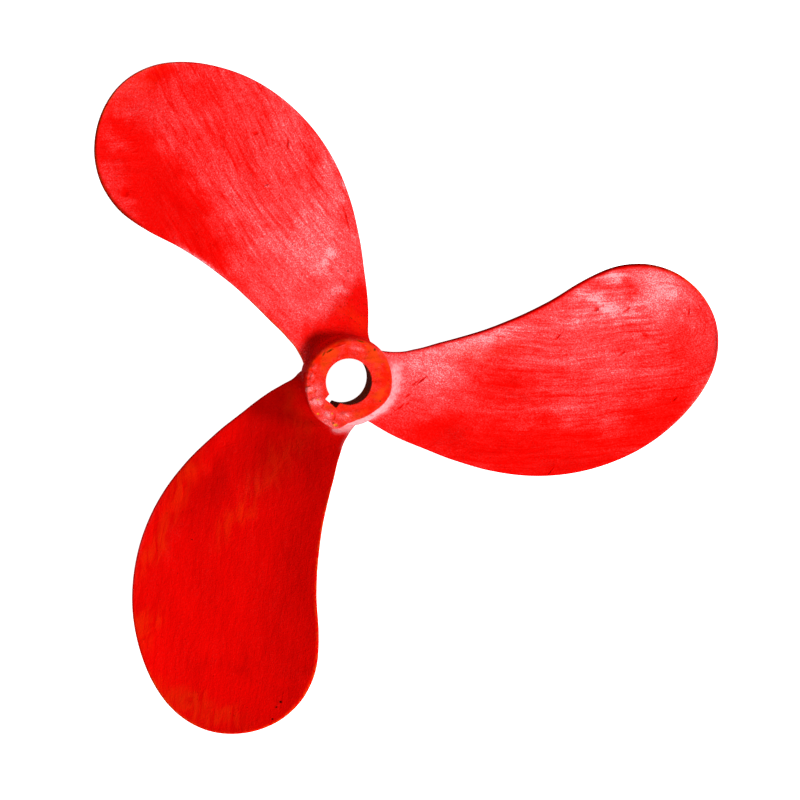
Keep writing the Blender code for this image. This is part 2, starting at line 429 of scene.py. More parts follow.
# Casting: knocks, chisel marks and pits
# What a working life has left in the metal. Each mark gives its middle from the shaft axis, half
# its length and width, all in millimetres, the turn of its length from +X, its depth, which is
# less than nothing for a bump, and what shows in it. A dent has a low lip pushed up round it.
MARKS = (
    (71, 57, 8.5, 1.2, 81, 1.8, "paint"),
    (67, 49, 5.0, 0.9, 78, 0.9, "paint"),
    (71, 33, 3.0, 1.2, 78, 1.0, "paint"),
    (74, 17, 5.0, 1.0, 80, 1.0, "paint"),
    (78, 26, 3.0, 0.9, 82, 0.8, "paint"),
    (175, 255, 3.4, 2.4, 60, 2.0, "paint"),
    (162, 202, 5.5, 1.1, 88, 1.2, "paint"),
    (322, 234, 3.5, 1.5, 85, 1.1, "paint"),
    (266, 72, 7.0, 1.1, 92, 0.9, "paint"),
    (236, 236, 4.5, 1.5, 80, 0.8, "paint"),
    (263, 324, 5.0, 1.2, 125, 1.1, "paint"),
    (241, 270, 4.0, 2.0, 20, 0.8, "paint"),
    (204, 279, 4.5, 1.2, 80, 0.8, "paint"),
    (-234, 173, 6.0, 1.0, 128, 1.2, "paint"),
    (-221, 118, 3.6, 1.8, 60, -1.0, "paint"),
    (-335, 129, 1.8, 1.5, 0, -0.9, "paint"),
    (-353, 2, 4.4, 4.0, 0, 0.9, "paint"),
    (-272, 157, 4.0, 2.0, 60, 0.7, "paint"),
    (-119, 148, 14.0, 1.2, 145, 1.0, "paint"),
    (-150, 178, 7.0, 1.2, 150, -0.8, "paint"),
    (-110, 105, 6.5, 6.0, 0, -0.4, "paint"),
    (-108, 92, 5.0, 4.5, 0, -0.4, "paint"),
    (-79, 102, 1.0, 0.9, 0, 0.8, "dark"),
    (-153, 84, 0.7, 0.6, 0, 0.5, "dark"),
    (-134, 100, 0.7, 0.6, 0, 0.5, "dark"),
    (180, -346, 1.7, 1.3, 20, 1.0, "dark"),
    (180, -354, 1.2, 0.9, 60, 0.8, "dark"),
    (185, -368, 1.4, 1.0, 20, 0.8, "dark"),
    (-19, -264, 0.9, 0.7, 40, 0.5, "dark"),
    (-4, -53, 1.4, 1.1, 20, 0.5, "metal"),
    (9, -42, 1.1, 0.9, 60, 0.4, "metal"),
    (-15, -40, 1.2, 0.9, 20, 0.4, "metal"),
    (21, -50, 2.4, 1.5, 40, 0.8, "metal"),
    (17, -50, 1.2, 1.0, 0, 0.9, "soil"),
    (-32, -39, 6.0, 3.6, 60, -1.2, "paint"),
    (-16, -44, 7.0, 4.0, 20, -1.1, "paint"),
    (22, -34, 6.0, 4.0, 50, -0.8, "paint"),
    (6, -46, 5.0, 3.0, 10, -0.8, "paint"),
    (-44, -12, 5.0, 3.0, 90, -0.8, "paint"),
    (-38, -24, 4.0, 2.6, 120, -0.8, "paint"),
    (-42, 14, 4.0, 1.2, 70, 0.8, "soil"),
    (-45, 6, 3.0, 1.0, 100, 0.6, "soil"),
    (-1, 49, 1.8, 1.2, 130, 0.8, "soil"),
    (-20, 46, 4.0, 0.9, 22, 0.5, "soil"),
    (-13, 46, 3.4, 1.0, 17, -0.5, "metal"),
    (-36, 25, 8.0, 1.6, 56, -0.7, "paint"),
    (-40, -28, 3.0, 1.2, 30, 0.5, "paint"),
    (-44, -18, 2.6, 1.2, 20, 0.5, "paint"),
    (-35, -35, 3.0, 1.2, 40, 0.5, "paint"),
    (-28, -41, 2.6, 1.2, 52, 0.5, "paint"),
    (-22, -45, 2.8, 1.2, 60, 0.5, "paint"),
    (-24, -34, 2.2, 1.0, 100, 0.5, "paint"),
    (-33, -27, 2.6, 1.0, 80, 0.5, "paint"),
    (-38, -18, 2.2, 1.0, 70, 0.5, "paint"),
    (-6, -42, 3.0, 1.2, 100, 0.5, "paint"),
    (14, -44, 3.4, 1.1, 110, 0.6, "paint"),
    (44, 6, 1.2, 1.0, 0, 0.5, "soil"),
)
DENT_STEEPNESS = 1.6
LIP_HEIGHT = 0.22
LIP_PLACE = 1.35
LIP_WIDTH = 0.40
MARK_REACH = 1.5
SLIVER_LENGTH = 1e-5
REFINE_MARGINS = (4.0, 2.0, 1.0)
REFINE_REACH = 1.2
FINE_EDGE = 0.0009
LEAST_UPWARD = 0.3
SHARP_ANGLE = 42


def mark_distances(places, x, y, length, width, turn):
    """Distance of each place from a mark's middle, where one is the mark's rim."""
    along = np.array([math.cos(math.radians(turn)), math.sin(math.radians(turn))])
    off = places[:, :2] * 1000 - (x, y)
    return np.hypot(off @ along / length, (off[:, 1] * along[0] - off[:, 0] * along[1]) / width)


def refine_near_marks(shape):
    """Halves the mesh three times round each mark, nearer to it each time."""
    for margin in REFINE_MARGINS:
        faces = [face for face in shape.faces if face.normal.z > LEAST_UPWARD]
        middles = np.array([face.calc_center_median() for face in faces])
        near = np.zeros(len(faces), dtype=bool)
        for x, y, length, width, turn, _, _ in MARKS:
            away = mark_distances(middles, x, y, length + margin, width + margin, turn)
            near |= away < REFINE_REACH
        shape.edges.index_update()
        edges = {edge for face, chosen in zip(faces, near) if chosen for edge in face.edges}
        coarse = [edge for edge in edges if edge.calc_length() > FINE_EDGE]
        coarse.sort(key=lambda edge: edge.index)
        bmesh.ops.subdivide_edges(shape, edges=coarse, cuts=1, use_grid_fill=True)


shape = bmesh.new()
shape.from_mesh(casting_mesh)
bmesh.ops.remove_doubles(shape, verts=shape.verts, dist=SLIVER_LENGTH)
refine_near_marks(shape)
bmesh.ops.triangulate(shape, faces=[face for face in shape.faces if len(face.verts) > 4])
shape.to_mesh(casting_mesh)
shape.free()

points = np.empty(len(casting_mesh.vertices) * 3)
casting_mesh.vertices.foreach_get("co", points)
points = points.reshape(-1, 3)
normals = np.empty(len(casting_mesh.vertices) * 3)
casting_mesh.vertex_normals.foreach_get("vector", normals)
upward = normals.reshape(-1, 3)[:, 2]
facing_aft = upward > LEAST_UPWARD
shows = {look: np.zeros(len(points)) for look in ("paint", "metal", "dark", "soil", "raised")}
for x, y, length, width, turn, depth, look in MARKS:
    away = mark_distances(points, x, y, length, width, turn)
    press = np.exp(-DENT_STEEPNESS * away ** 2)
    press -= LIP_HEIGHT * np.exp(-((away - LIP_PLACE) / LIP_WIDTH) ** 2)
    points[:, 2] -= depth / 1000 * press * facing_aft
    look = look if depth > 0 else "raised"
    shows[look] = np.maximum(shows[look], np.clip(MARK_REACH - away, 0, 1) * facing_aft)
casting_mesh.vertices.foreach_set("co", points.ravel())
casting_mesh.update()

casting = bpy.data.objects.new("casting", casting_mesh)
scene.collection.objects.link(casting)
casting_mesh.shade_smooth()
casting_mesh.set_sharp_from_angle(angle=math.radians(SHARP_ANGLE))
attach(casting, "root")
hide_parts("propeller")


# Casting: where the paint has changed
# The paint has gone chalky in broad patches, shows an orange undercoat on the hub and in thin
# places, and is worn and grimy at the edges. Some places also paint light and shade into it:
# painted shade along edges that face away from the lamps, in dents and beside the hub, and
# painted highlights on edges, knocks and the hub's rim. Each place on a blade gives the blade,
# its radius, its arc from that blade's generator line, half its length and width, all in
# millimetres, the turn of its length from the blade's own direction, and how strong it is. A
# place on the hub gives its x and y, half its length and width, its turn from +X and its
# strength.
# The painter turned the brush on each blade: STROKE_TURNS and STROKE_BENDS say how far, and two
# tips were brushed another way, one across and one round.
STROKES_FROM = 0.200
STROKE_TURNS = (7.0, 16.0, 30.0)
STROKE_BENDS = (1.3, -1.05, 0.0)
CROSS_TIP_BLADE = 2
CROSS_TIP_TURN = 70.0
CROSS_TIP_START = 0.240
CROSS_TIP_RAGGED = ((0.006, 90), (0.003, 210))
ROUND_TIP_BLADE = 1
ROUND_TIP_MIDDLE = (0.367, 0.133)
ROUND_TIP_REACH = 0.062
ROUND_TIP_SLANT = 0.7
ROUND_STROKE_RADIUS = 0.05
STROKES_SHOW = (1.0, 1.0, 0.25)
STROKES_START = (0.140, 0.200)
LEAST_STROKES = 0.2
TURNED_STROKES_SHOW = 0.70
HUB_STROKES_SHOW = 0.4
TURN_WIDTH = 0.014
BLADE_APART = 0.7
LEAST_CHALK = (0.05, 0.05, -0.2)
CHALK_BASE = (0.385, 0.41, -0.04)
HUB_CHALK_BASE = 0.36
CHALK_PLACES = (
    (2, 150, -18, 90, 60, 0, 0.28),
    (2, 228, -10, 30, 24, 0, -0.12),
    (2, 262, -46, 30, 18, 0, -0.12),
    (2, 118, 4, 14, 18, 0, -0.16),
    (2, 225, 46, 44, 14, 10, 0.08),
    (2, 275, 58, 44, 20, 20, 0.10),
    (2, 342, 22, 30, 28, 0, -0.10),
    (2, 312, -46, 54, 18, -6, 0.24),
    (2, 290, 120, 86, 24, 12, -0.50),
    (2, 315, 160, 42, 22, 10, -0.36),
    (2, 395, 168, 50, 34, 20, -0.24),
    (2, 385, 40, 18, 20, 0, -0.16),
    (2, 408, 62, 16, 20, 0, -0.12),
    (2, 428, 92, 14, 24, 0, -0.14),
    (2, 190, 84, 40, 16, 14, -0.08),
    (2, 414, 155, 20, 6, 48, -0.26),
    (2, 409, 184, 14, 6, 42, -0.22),
    (2, 390, 143, 13, 6, 48, -0.24),
    (2, 378, 167, 24, 6, 44, -0.22),
    (2, 432, 90, 24, 7, 60, -0.24),
    (2, 400, 170, 16, 8, 50, 0.16),
    (2, 84, -53, 30, 23, 0, -0.75),
    (2, 62, 0, 18, 34, 0, -0.60),
    (2, 246, -72, 40, 14, -6, 0.26),
    (2, 206, -40, 22, 20, 0, 0.10),
    (2, 104, -33, 11, 10, 0, 0.30),
    (2, 180, 72, 40, 12, 14, 0.10),
    (2, 236, -16, 22, 14, 0, 0.12),
    (2, 153, -37, 10, 8, 0, 0.07),
    (2, 136, -21, 10, 7, 0, 0.07),
    (2, 187, -20, 16, 10, 0, 0.05),
    (1, 92, 34, 46, 44, 20, 0.34),
    (1, 112, 54, 20, 14, 0, -0.14),
    (1, 150, 72, 60, 17, 26, 0.38),
    (1, 215, 102, 50, 14, 26, 0.17),
    (1, 157, 56, 14, 10, 0, 0.16),
    (1, 198, 22, 40, 26, 0, -0.24),
    (1, 250, -56, 132, 34, 0, -0.36),
    (1, 128, -40, 24, 16, 50, -0.22),
    (1, 385, 18, 50, 26, 40, -0.32),
    (1, 290, 72, 90, 50, 20, 0.14),
    (1, 300, 142, 42, 18, 32, 0.28),
    (1, 350, 148, 34, 20, 30, 0.26),
    (1, 332, 185, 22, 9, 0, 0.24),
    (1, 355, 130, 14, 12, 0, 0.14),
    (1, 265, 50, 44, 12, 4, -0.12),
    (1, 305, -18, 70, 14, -2, -0.12),
    (1, 182, -30, 32, 12, 0, -0.10),
    (1, 324, 149, 15, 11, 0, 0.26),
    (1, 345, 186, 14, 8, 0, 0.40),
    (1, 392, 192, 30, 22, 0, 0.40),
    (1, 395, 160, 30, 26, 0, 0.30),
    (1, 352, 168, 9, 15, 0, -0.20),
    (1, 400, 105, 18, 30, 0, -0.10),
    (3, 170, 0, 40, 12, 0, 0.10),
    (3, 285, -38, 26, 10, 0, 0.12),
)
# Places where the red is darkened, or lightened where the strength is below nothing. On blade 3,
# the darkening at the root beside the hub is painted shade, and the lightening at the root fillet
# and along the leading edge is painted light. The other places change the paint's tone.
TONE_AND_PAINTED_LIGHT_PLACES = (
    (3, 105, -10, 56, 64, 0, 0.13),
    (3, 216, -34, 46, 20, 0, 0.13),
    (3, 200, -66, 60, 10, -6, -0.04),
    (3, 225, 108, 110, 26, 28, 0.14),
    (3, 330, 176, 60, 16, 20, 0.09),
    (3, 300, -40, 70, 22, 6, -0.05),
    (3, 380, 60, 70, 60, 0, -0.06),
    (3, 208, -62, 50, 30, 0, 0.12),
    (3, 205, 0, 46, 14, 40, -0.12),
    (3, 108, -4, 36, 30, 0, 0.16),
    (3, 61, -16, 9, 20, 0, -0.20),
    (3, 300, -66, 160, 8, 0, -0.12),
    (3, 280, -60, 26, 22, 0, 0.07),
    (3, 395, 152, 24, 14, 50, -0.14),
    (3, 428, 90, 12, 24, 0, 0.07),
    (3, 375, 100, 8, 26, 20, 0.08),
    (3, 352, 118, 26, 5, 40, 0.12),
    (3, 350, 190, 4, 30, 0, 0.07),
    (3, 366, 180, 4, 34, 0, -0.07),
    (3, 290, 40, 70, 36, 20, -0.06),
    (1, 250, -56, 132, 26, 0, 0.12),
    (1, 152, -46, 22, 12, 50, 0.06),
    (1, 205, 20, 30, 16, 0, 0.14),
    (2, 290, 122, 76, 20, 12, 0.10),
    (2, 315, 160, 38, 18, 10, 0.06),
    (2, 420, 120, 30, 60, 0, 0.05),
    (2, 400, 186, 46, 10, 20, 0.05),
)
# Darkening along blade 1's trailing edge and blade 2's trailing edge near the tip: painted shade
# on the roundings that face away from the lamps, with some grime.
EDGE_SHADE_AND_GRIME_PLACES = (
    (1, 215, 105, 170, 34, 26, 0.66),
    (1, 360, 205, 56, 34, 0, 0.62),
    (2, 400, 190, 70, 60, 0, 0.50),
    (2, 330, 205, 40, 40, 0, 0.40),
)
EDGE_SHADE_AND_GRIME_WIDTH = 0.0032
ORANGE_PLACES = (
    (3, 205, 4, 40, 10, 0, 0.8),
    (3, 130, 0, 40, 16, 0, 0.5),
    (3, 225, -72, 26, 14, 10, 0.9),
    (3, 300, -48, 40, 10, 12, 0.9),
    (3, 385, 2, 24, 16, 0, 0.8),
    (3, 428, 110, 14, 52, 0, 0.9),
    (3, 72, -20, 12, 30, 0, 0.6),
    (1, 165, 62, 46, 12, 22, 0.5),
    (2, 72, -40, 16, 16, 0, 0.7),
    (2, 436, 120, 12, 40, 0, 0.4),
)
EDGE_PLACES = (
    (3, 250, 130, 130, 18, 26, 1.0),
    (3, 360, 200, 60, 20, 0, 0.9),
    (3, 430, 110, 20, 90, 0, 0.9),
    (1, 410, 190, 26, 50, 0, 0.9),
    (1, 425, 60, 30, 40, 0, 0.5),
    (2, 400, 190, 70, 50, 0, 0.7),
    (2, 445, 120, 20, 60, 0, 0.6),
    (2, 110, 60, 60, 16, 0, 0.9),
)
# Along some edges the paleness changes. On blade 1's trailing edge and on blade 2's trailing edge
# near the tip it is lowered, as painted shade on roundings that face away from the lamps. Along
# blade 3's leading edge it is raised as painted light on that edge's shaded rounding, and at
# blade 3's trailing root as a painted highlight. It is also raised along blade 2's trailing edge
# and at blade 1's tip.
EDGE_LIGHT_AND_SHADE_PLACES = (
    (1, 230, 118, 170, 30, 26, -0.9),
    (1, 370, 205, 60, 30, 0, -0.9),
    (2, 380, 200, 80, 40, 0, -0.5),
    (2, 232, 118, 50, 22, 10, 0.9),
    (1, 400, 60, 60, 60, 0, 0.4),
    (3, 300, -60, 140, 24, 0, 0.4),
    (3, 72, 42, 18, 14, 0, 1.1),
)
SPECKED_PLACES = (
    (2, 92, -46, 34, 26, 0, 1.0),
    (2, 66, -10, 14, 40, 0, 0.6),
    (1, 64, 52, 12, 14, 0, 1.0),
    (1, 90, 10, 40, 34, 0, 0.4),
    (1, 62, -44, 12, 12, 0, 0.5),
)
HUB_ORANGE_PLACES = (
    (5, 38, 13, 5, 20, 0.9),
    (22, 30, 8, 5, 130, 0.5),
    (39, 12, 9, 5, 60, 1.0),
    (-36, 10, 12, 6, 80, 0.9),
    (-33, -8, 8, 4, 100, 0.7),
    (-6, 47, 14, 4, 160, 0.9),
    (24, 44, 9, 3, 140, 0.7),
    (34, -24, 7, 5, 40, 0.5),
    (0, -40, 8, 3, 10, 0.5),
    (8, -36, 5, 3, 0, 0.6),
)
# Small pale patches on the lower left of the hub's face and rim, where chisel facets catch the
# light, and a thin pale line along the seat's step are painted highlights. The places below
# nothing are chalk.
HUB_CHALK_AND_HIGHLIGHT_PLACES = (
    (-30, -37, 13, 7, 50, 0.32),
    (-14, -45, 11, 6, 20, 0.30),
    (-42, -18, 10, 4, 110, 0.14),
    (20, -37, 16, 7, 30, 0.16),
    (4, -47, 8, 4, 5, 0.22),
    (13, -54, 13, 5, 10, 0.40),
    (-19, 36, 13, 2.5, 28, 0.34),
    (-46, -6, 10, 6, 97, -0.45),
    (-41, 24, 11, 5, 60, -0.50),
    (-21, 46, 8, 3, 25, -0.20),
    (-13, -37, 9, 4, 160, 0.24),
    (-21, -30, 7, 4, 145, 0.14),
    (30, 36, 13, 8, 120, -0.36),
    (46, 14, 12, 5, 100, -0.24),
    (-25, 27, 9, 4, 130, -0.24),
    (-8, 44, 12, 3, 165, -0.20),
    (40, -10, 10, 7, 60, -0.26),
    (14, -30, 9, 5, 20, -0.20),
)
JUST_INSIDE_TIP = 0.9999
OUTLINE_FROM = 0.056
OUTLINE_REACH = 0.945
OUTLINE_POINTS = 500
FAR_FROM_OUTLINE = 0.1
EDGE_WIDTH = 0.0021
EDGE_LIGHT_AND_SHADE_WIDTH = 0.0036
TONE_LIMITS = (-0.18, 0.72)
BRIGHTER_HUB = 0.05
BUMP_HIGHLIGHT = 0.25
DENT_SHADE = 0.35
PATCH_EDGE = 0.8
RAGGED_OUT = ((4.0, 0.0, 0.13, 1), (2.5, 0.20, 0.31, 0))
RAGGED_ASIDE = ((4.0, 0.12, 0.0, 0), (2.5, 0.29, -0.17, 2))
BLADE_PAINT_FROM = 0.053
BLADE_PAINT_BLEND = 0.012
HUB_PAINT_TO = 0.0615
HUB_PAINT_DROP = 0.0055
HUB_PAINT_BLEND = 0.003
# A painted highlight lies just outside the hub's aft rim: a pale band on the rounding and
# fillets where they face the lamps. At each turn from +X, in degrees, it has a width in
# millimetres and a paleness. It fades on walls and undersides.
BAND_INNER_BLEND = 1.2
BAND_OUTER_REACH = 5
BAND_OUTER_BLEND = 7
BAND_NARROW = 6
BAND_FADE = (5.0, 0.25)
BAND_WAVES = ((0.10, 0.11, 0), (0.04, 0.47, 1))
HIGHLIGHT_BAND = (
    (-84, 0, 1.0),
    (-70, 3, 1.0),
    (-58, 10, 1.0),
    (-30, 13, 0.9),
    (-5, 16, 0.8),
    (20, 14, 0.74),
    (35, 16, 0.72),
    (54, 19, 0.72),
    (62, 12, 0.55),
    (70, 0, 0.4),
)


def blade_places(points):
    """Blade number, radius and arc of each point of the casting, from the nearest blade."""
    radius = np.hypot(points[:, 0], points[:, 1])
    turn = np.arctan2(points[:, 1], points[:, 0])
    lead, trail = edge_angles(np.minimum(radius, TIP_RADIUS * JUST_INSIDE_TIP))
    number = np.zeros(len(points), dtype=int)
    angle = np.zeros(len(points))
    across = np.full(len(points), np.inf)
    for count, direction in enumerate(BLADE_DIRECTIONS, start=1):
        off = (turn - math.radians(direction) + math.pi) % (2 * math.pi) - math.pi
        here = (2 * off - lead - trail) / (trail - lead)
        nearer = np.abs(here) < np.abs(across)
        number[nearer] = count
        angle[nearer] = off[nearer]
        across[nearer] = here[nearer]
    return number, radius, radius * angle


def distance_from_outline():
    """Distance of each point from its blade's outline, in the plane of the disc."""
    along = TIP_RADIUS * (1 - np.linspace(0, OUTLINE_REACH, OUTLINE_POINTS) ** 2)
    rim_radius = np.concatenate([along, along])
    rim_angle = np.concatenate(edge_angles(along))
    tree = KDTree(len(rim_radius))
    for index, (r, a) in enumerate(zip(rim_radius, rim_angle)):
        tree.insert((r * math.cos(a), r * math.sin(a), 0), index)
    tree.balance()
    angle = arc / radius
    spots = zip(radius * np.cos(angle), radius * np.sin(angle))
    distances = np.array([tree.find((x, y, 0))[2] for x, y in spots])
    return np.where(radius > OUTLINE_FROM, distances, FAR_FROM_OUTLINE)


def soft_places(places):
    """Adds up soft patches with ragged edges, each turned against its blade."""
    total = np.zeros(len(radius))
    spots = []
    for straight, waves in ((radius, RAGGED_OUT), (arc, RAGGED_ASIDE)):
        ragged = straight * 1000
        for size, along_radius, along_arc, shift in waves:
            swing = along_radius * radius * 1000 + along_arc * arc * 1000 + shift
            ragged = ragged + size * np.sin(swing)
        spots.append(ragged)
    for blade, at_radius, at_arc, length, width, turn, strength in places:
        out = spots[0] - at_radius
        aside = spots[1] - at_arc
        c = math.cos(math.radians(turn))
        s = math.sin(math.radians(turn))
        oval = ((out * c + aside * s) / length) ** 2 + ((aside * c - out * s) / width) ** 2
        total += strength * (number == blade) * np.exp(-PATCH_EDGE * oval ** 1.5)
    return total


def hub_places(places):
    """Adds up soft oval patches on the hub, given by x, y, half length and width and turn."""
    total = np.zeros(len(points))
    for x, y, length, width, turn, strength in places:
        away = mark_distances(points, x, y, length, width, turn)
        total += strength * np.exp(-PATCH_EDGE * away ** 3)
    return total


def painted_highlight_band():
    """Where the painted highlight band outside the aft rim lies, and how pale it is, at each
    point.
    """
    turn = np.degrees(np.arctan2(points[:, 1], points[:, 0]))
    degrees, rims = zip(*AFT_RIM)
    beyond = (radius - np.interp(turn % 360, degrees, rims)) * 1000
    at, widths, paleness = zip(*HIGHLIGHT_BAND)
    waves = sum(size * np.sin(rate * turn + shift) for size, rate, shift in BAND_WAVES)
    width = np.interp(turn, at, widths) * (1 + waves)
    inner = np.clip(beyond / BAND_INNER_BLEND, 0, 1)
    outer = np.clip((width + BAND_OUTER_REACH - beyond) / BAND_OUTER_BLEND, 0, 1)
    lies = inner * outer * np.clip(width / BAND_NARROW, 0, 1)
    lies *= np.clip(BAND_FADE[0] * upward + BAND_FADE[1], 0, 1)
    return lies, np.interp(turn, at, paleness)


def along_blade():
    """How far out along its blade's direction, and aside of it, each point lies."""
    turn = np.radians(np.array(BLADE_DIRECTIONS))[number - 1]
    out = points[:, 0] * np.cos(turn) + points[:, 1] * np.sin(turn)
    aside = points[:, 1] * np.cos(turn) - points[:, 0] * np.sin(turn)
    return out, aside


def brush_strokes():
    """Where each point lies along and beside the strokes, and how clearly they show there.

    They show little near the hub, and less where they were turned. The last value is nothing
    where the brush changed its direction, and one away from there.
    """
    out, aside = along_blade()
    slope = np.tan(np.radians(np.array(STROKE_TURNS)))[number - 1]
    from_start = out - STROKES_FROM
    along = out.copy()
    beside = aside - slope * from_start - np.array(STROKE_BENDS)[number - 1] / 2 * from_start ** 2

    c = math.cos(math.radians(CROSS_TIP_TURN))
    s = math.sin(math.radians(CROSS_TIP_TURN))
    across = out * c + aside * s
    beside_across = aside * c - out * s
    ragged = sum(size * np.sin(rate * beside_across) for size, rate in CROSS_TIP_RAGGED)
    in_cross_tip = across + ragged - CROSS_TIP_START
    in_cross_tip = np.where(number == CROSS_TIP_BLADE, in_cross_tip, -1.0)
    along = np.where(in_cross_tip > 0, across, along)
    beside = np.where(in_cross_tip > 0, beside_across, beside)

    off = (out - ROUND_TIP_MIDDLE[0], aside - ROUND_TIP_MIDDLE[1])
    in_round_tip = np.minimum(ROUND_TIP_REACH - np.hypot(*off), sum(off) * ROUND_TIP_SLANT)
    in_round_tip = np.where(number == ROUND_TIP_BLADE, in_round_tip, -1.0)
    around = ROUND_STROKE_RADIUS * np.arctan2(off[1], off[0])
    along = np.where(in_round_tip > 0, around, along)
    beside = np.where(in_round_tip > 0, np.hypot(*off), beside)

    turned = np.maximum(in_cross_tip, in_round_tip)
    show = (radius - STROKES_START[0]) / (STROKES_START[1] - STROKES_START[0])
    show = np.clip(show, LEAST_STROKES, 1) * np.array(STROKES_SHOW)[number - 1]
    show = np.where(turned > 0, TURNED_STROKES_SHOW, show)
    steady = np.clip(np.abs(turned) / TURN_WIDTH, 0, 1) ** 2
    return np.stack([along, beside, BLADE_APART * number], axis=-1), show, steady


def store(mesh, name, values, kind="FLOAT"):
    """Keeps one value, or one vector, for each point of the mesh."""
    attribute = mesh.attributes.new(name, kind, "POINT")
    attribute.data.foreach_set("value" if kind == "FLOAT" else "vector", np.ravel(values))


number, radius, arc = blade_places(points)
stroke, brushed, steady = brush_strokes()
from_outline = distance_from_outline()
on_blade = np.clip((radius - BLADE_PAINT_FROM) / BLADE_PAINT_BLEND, 0, 1)
on_face = np.clip((points[:, 2] - HUB_AFT + HUB_PAINT_DROP) / HUB_PAINT_BLEND, 0, 1)
on_face *= radius < HUB_PAINT_TO
stroke = stroke * on_blade[:, None] + points * (1 - on_blade[:, None])
# On the knocks the paleness is raised on bumps as a painted highlight and lowered in dents as
# painted shade, so that their relief shows.
knock_highlight_and_shade = BUMP_HIGHLIGHT * shows["raised"] - DENT_SHADE * shows["paint"]
pale_level = np.array(CHALK_BASE)[number - 1] + soft_places(CHALK_PLACES)
pale_level = np.maximum(pale_level, np.array(LEAST_CHALK)[number - 1])
pale_level += np.exp(-(from_outline / EDGE_LIGHT_AND_SHADE_WIDTH) ** 2) * soft_places(EDGE_LIGHT_AND_SHADE_PLACES)
edge_shade_and_grime = np.exp(-(from_outline / EDGE_SHADE_AND_GRIME_WIDTH) ** 4) * soft_places(EDGE_SHADE_AND_GRIME_PLACES)
tone_and_painted_light = soft_places(TONE_AND_PAINTED_LIGHT_PLACES) + edge_shade_and_grime - BRIGHTER_HUB * on_face
band, band_pale_level = painted_highlight_band()
paint_values = {
    "on_face": on_face,
    "brushed": brushed * on_blade + HUB_STROKES_SHOW * (1 - on_blade),
    "steady": steady,
    "specked": soft_places(SPECKED_PLACES) * on_blade,
    "pale_level": pale_level + knock_highlight_and_shade,
    "hub_pale_level": HUB_CHALK_BASE + hub_places(HUB_CHALK_AND_HIGHLIGHT_PLACES) + knock_highlight_and_shade,
    "orange": soft_places(ORANGE_PLACES) * on_blade,
    "hub_orange": hub_places(HUB_ORANGE_PLACES),
    "edge": np.exp(-(from_outline / EDGE_WIDTH) ** 2) * soft_places(EDGE_PLACES),
    "painted_highlight_band": band,
    "band_pale_level": band_pale_level,
    "tone_and_painted_light": 1 - np.clip(tone_and_painted_light, *TONE_LIMITS),
    "metal": shows["metal"],
    "dark": shows["dark"],
    "soil": shows["soil"],
}
for name, values in paint_values.items():
    store(casting_mesh, name, values)
store(casting_mesh, "stroke", stroke, "FLOAT_VECTOR")


# Casting: the paint itself
# Red enamel brushed by hand on cast bronze, in long strokes from hub to tip. Sun and rubbing
# have left a pale chalk on it, thin places show an orange undercoat, and the gloss has gone, so
# the eye sees a matt red that is paler along the strokes.
def linear(hex_colour):
    """Turns an sRGB hex colour into the linear values that a node takes."""
    values = []
    for start in (0, 2, 4):
        value = int(hex_colour[start:start + 2], 16) / 255
        values.append(value / 12.92 if value <= 0.04045 else ((value + 0.055) / 1.055) ** 2.4)
    return (*values, 1.0)


def add_node(tree, kind, inputs, **settings):
    """Adds a node with its settings; an input is a value, a node or one of its outputs."""
    node = tree.nodes.new(kind)
    for key, value in settings.items():
        setattr(node, key, value)
    for key, value in inputs.items():
        if isinstance(value, bpy.types.Node):
            value = value.outputs[0]
        if isinstance(value, bpy.types.NodeSocket):
            tree.links.new(value, node.inputs[key])
        else:
            node.inputs[key].default_value = value
    return node


# The more chalk, the paler the red.
PAINT_TONES = (
    (0.001, "EC0401"),
    (0.25, "EC1512"),
    (0.50, "EE3334"),
    (0.75, "F15559"),
    (0.999, "F7969B"),
)
# What brush and weather drew: how a pattern lies, its size in millimetres, its detail,
# roughness and distortion, and how much it moves the chalk. A drawn pattern follows the strokes
# and is some fifteen times as long as it is wide, a swept one three times. The paint's real
# grain is finer than a millimetre. It is drawn at 1.5 mm, because a finer one wouldn't show.
PATTERNS = (
    ("bristles", "drawn", 2.0, 1.0, 0.50, 0.0, 0.42),
    ("strokes", "drawn", 5.0, 2.0, 0.50, 0.0, 0.38),
    ("streaks", "drawn", 14.0, 2.0, 0.50, 0.0, 0.46),
    ("clouds", "plain", 50.0, 3.0, 0.55, 0.6, 0.28),
    ("dabs", "swept", 9.0, 3.0, 0.55, 1.0, 0.40),
    ("sand", "plain", 4.0, 2.0, 0.60, 0.0, 0.22),
    ("grain", "plain", 1.5, 1.0, 0.50, 0.0, 1.10),
)
STRETCHES = (("drawn", (0.065, 1.0, 1.0)), ("swept", (0.35, 1.0, 1.0)))
# The strokes wander sideways once in about 90 mm. Islands of thin paint are about 11 mm across,
# dark specks 2.4 mm apart, and pinholes 10 mm.
WANDERS_PER_METRE = 11.0
WANDER_SWING = (0.0, 0.014, 0.0)
ISLANDS_PER_METRE = 90.0
SPECKS_PER_METRE = 420.0
SPECKS_LEFT_OUT = 0.62
SPECK_STRENGTH = 0.8
PINHOLES_PER_METRE = 95.0
PATTERN_MIDDLE = 0.5
HUB_MOTTLE = 0.85
BAND_MOTTLE = 0.4
HUB_THINNING = 0.36
HEIGHT_SHARES = (("grain", 0.7), ("dabs", 0.8))
BUMP_STRENGTH = 0.55
BUMP_HEIGHT = 0.0007
WORN_GLOSS = 0.005
paint = bpy.data.materials.new("brushed_red_enamel")
paint.use_nodes = True
tree = paint.node_tree
shader = tree.nodes["Principled BSDF"]
stored = {}
for name in (*paint_values, "stroke"):
    attribute = add_node(tree, "ShaderNodeAttribute", {}, attribute_name=name)
    stored[name] = attribute.outputs["Vector" if name == "stroke" else "Fac"]

